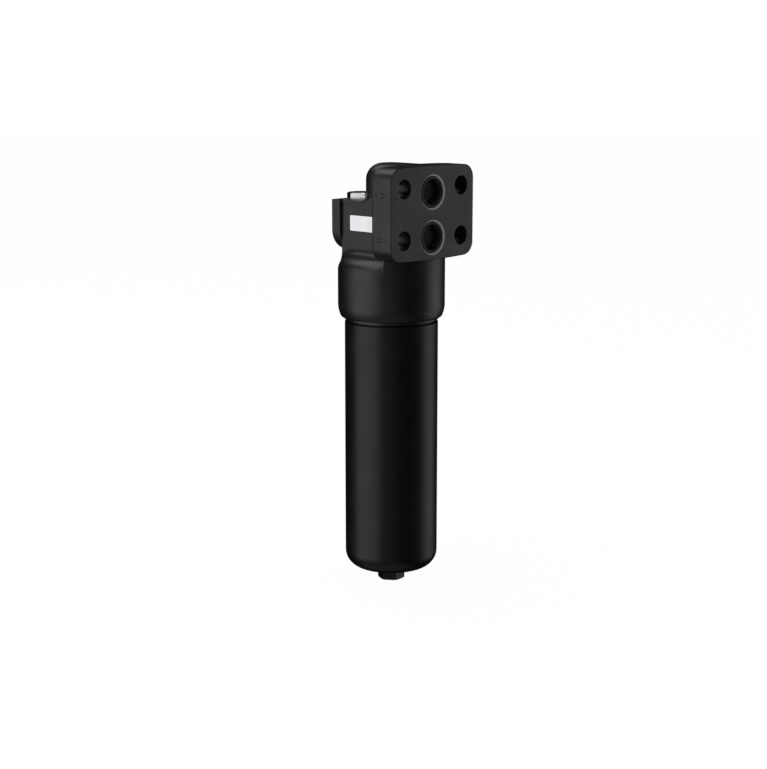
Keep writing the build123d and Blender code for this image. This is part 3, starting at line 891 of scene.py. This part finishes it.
@dataclass
class SoftBox:
    """A large soft lamp, far enough away to light the filter evenly.

    Attributes:
        name: The lamp's name.
        turn: Degrees to the right of the camera, seen from the filter.
        rise: Degrees above the horizon.
        width: Of the lamp.
        height: Of the lamp.
        radiance: Brightness of its surface, where 1 is white.
        distance: From the filter.
        watts_for_white: Power that makes a square metre of lamp look white.
    """

    name: str
    turn: float
    rise: float
    width: float
    height: float
    radiance: float
    distance: float = 3.0
    watts_for_white: float = 4.0

    def build(self, camera_turn: float, centre: Vector) -> None:
        """Hangs the lamp.

        Args:
            camera_turn: The camera's own place round the filter, in degrees.
            centre: What the lamp points at.
        """
        way = direction(camera_turn + self.turn, self.rise)
        lamp = bpy.data.lights.new(self.name, "AREA")
        lamp.shape = "RECTANGLE"
        lamp.size, lamp.size_y = self.width, self.height
        lamp.energy = self.watts_for_white * self.width * self.height * self.radiance
        made = bpy.data.objects.new(self.name, lamp)
        bpy.context.scene.collection.objects.link(made)
        made.location = centre + way * self.distance
        made.rotation_euler = way.to_track_quat("Z", "Y").to_euler()
        made.visible_camera = False


@dataclass
class Studio:
    """Floor, white surroundings, lamps and camera.

    Attributes:
        camera_turn: The camera's place round the filter, in degrees.
        camera_rise: Its height above the horizon, in degrees.
        camera_reach: Its distance from what it looks at.
        aim: What it looks at.
        lens: Its focal length in millimetres.
        sight: How far it sees.
        fill: Brightness of the surroundings for the filter's matt surfaces.
        floor_radius: Of the round floor.
        floor_sides: How many sides it has.
        floor_colour: Colour of the floor.
        floor_roughness: Its roughness.
        floor_light: Share of plain white in the floor as the camera sees it.
        lining_radius: Of the black lining, which is as high as it is wide.
        lining_sides: How many sides it has.
        soft_boxes: The lamps.
    """

    camera_turn: float = -45.9
    camera_rise: float = 10.97
    camera_reach: float = 1.600
    aim: Point = (-5.07 * MM, 56.53 * MM, -162.9 * MM)
    lens: float = 80.59
    sight: float = 60.0
    fill: float = 0.6
    floor_radius: float = 9.0
    floor_sides: int = 64
    floor_colour: Colour = (0.86, 0.86, 0.86)
    floor_roughness: float = 0.9
    floor_light: float = 0.97
    lining_radius: float = 7.0
    lining_sides: int = 48
    soft_boxes: tuple[SoftBox, ...] = (
        SoftBox("left_soft_box", -64.0, 0.0, 3.7, 3.6, 0.86),
        SoftBox("right_soft_box", 106.0, 0.0, 2.1, 3.6, 0.62),
        SoftBox("front_soft_box", -12.0, 0.0, 2.4, 3.6, 0.11),
        SoftBox("upper_soft_box", -90.0, 71.0, 5.0, 2.7, 1.3),
        SoftBox("lower_soft_box", -30.0, -72.0, 5.0, 3.0, 0.16),
    )

    def place_camera(self) -> None:
        """Puts the camera where the photograph was taken from."""
        back = direction(self.camera_turn, self.camera_rise)
        camera = bpy.data.cameras.new("camera")
        camera.lens = self.lens
        camera.clip_end = self.sight
        made = bpy.data.objects.new("camera", camera)
        bpy.context.scene.collection.objects.link(made)
        made.location = Vector(self.aim) + back * self.camera_reach
        made.rotation_euler = back.to_track_quat("Z", "Y").to_euler()
        bpy.context.scene.camera = made

    def surround(self) -> None:
        """Makes the surroundings white to look at, and a soft fill for matt surfaces."""
        world = bpy.data.worlds.new("white_surroundings")
        bpy.context.scene.world = world
        world.use_nodes = True
        world.cycles.sampling_method = "NONE"
        sheet = Sheet(world.node_tree)
        background = world.node_tree.nodes["Background"]
        background.inputs["Color"].default_value = WHITE
        strength = sheet.ramp(sheet.looked_at(), 0.0, 1.0, self.fill, 1.0)
        sheet.put(background.inputs["Strength"], strength)

    def lay_floor(self, level: float) -> None:
        """Lays a white floor that keeps the filter's shadow.

        Args:
            level: Its height.
        """
        bpy.ops.object.select_all(action="DESELECT")
        bpy.ops.mesh.primitive_circle_add(
            vertices=self.floor_sides,
            radius=self.floor_radius,
            fill_type="NGON",
            location=(0, 0, level),
        )
        floor = bpy.context.object
        floor.name = "floor"
        material = bpy.data.materials.new("pale_floor")
        material.use_nodes = True
        sheet = Sheet(material.node_tree)
        shader = material.node_tree.nodes["Principled BSDF"]
        sheet.put(shader.inputs["Base Color"], self.floor_colour)
        sheet.put(shader.inputs["Roughness"], self.floor_roughness)
        white = sheet.node("Emission", None, Strength=1.0)
        share = sheet.sum("MULTIPLY", sheet.looked_at(), self.floor_light)
        both = sheet.node("MixShader", None, n0=share, n1=shader.outputs[0], n2=white.outputs[0])
        sheet.put(material.node_tree.nodes["Material Output"].inputs["Surface"], both.outputs[0])
        floor.data.materials.append(material)
        floor.visible_glossy = False
        floor.visible_shadow = False

    def hang_lining(self, level: float) -> None:
        """Hangs a black lining that only the glossy paint and metal mirror.

        Args:
            level: Height of the floor.
        """
        bpy.ops.object.select_all(action="DESELECT")
        bpy.ops.mesh.primitive_cylinder_add(
            vertices=self.lining_sides,
            radius=self.lining_radius,
            depth=2 * self.lining_radius,
            location=(0, 0, level),
        )
        lining = bpy.context.object
        lining.name = "black_lining"
        material = bpy.data.materials.new("black_cloth")
        material.use_nodes = True
        shader = material.node_tree.nodes["Principled BSDF"]
        shader.inputs["Base Color"].default_value = BLACK
        shader.inputs["Specular IOR Level"].default_value = 0.0
        lining.data.materials.append(material)
        lining.visible_camera = False
        lining.visible_diffuse = False
        lining.visible_transmission = False
        lining.visible_shadow = False

    def build(self) -> None:
        """Sets up the whole studio round the filter."""
        bpy.context.scene.view_settings.view_transform = "Standard"
        self.place_camera()
        self.surround()
        self.lay_floor(cad_low.z)
        self.hang_lining(cad_low.z)
        for box in self.soft_boxes:
            box.build(self.camera_turn, Vector(self.aim))
        LOG.info("studio: camera at %.1f degrees, %d soft boxes", self.camera_turn, len(self.soft_boxes))


def main() -> None:
    """Finishes the solids, models the head and sets up the studio."""
    logging.basicConfig(level=logging.INFO, format="%(name)s: %(message)s")
    shop = Paintshop()
    shop.cover_solids()
    Head().dress(shop)
    Studio().build()


if __name__ == "__main__":
    main()
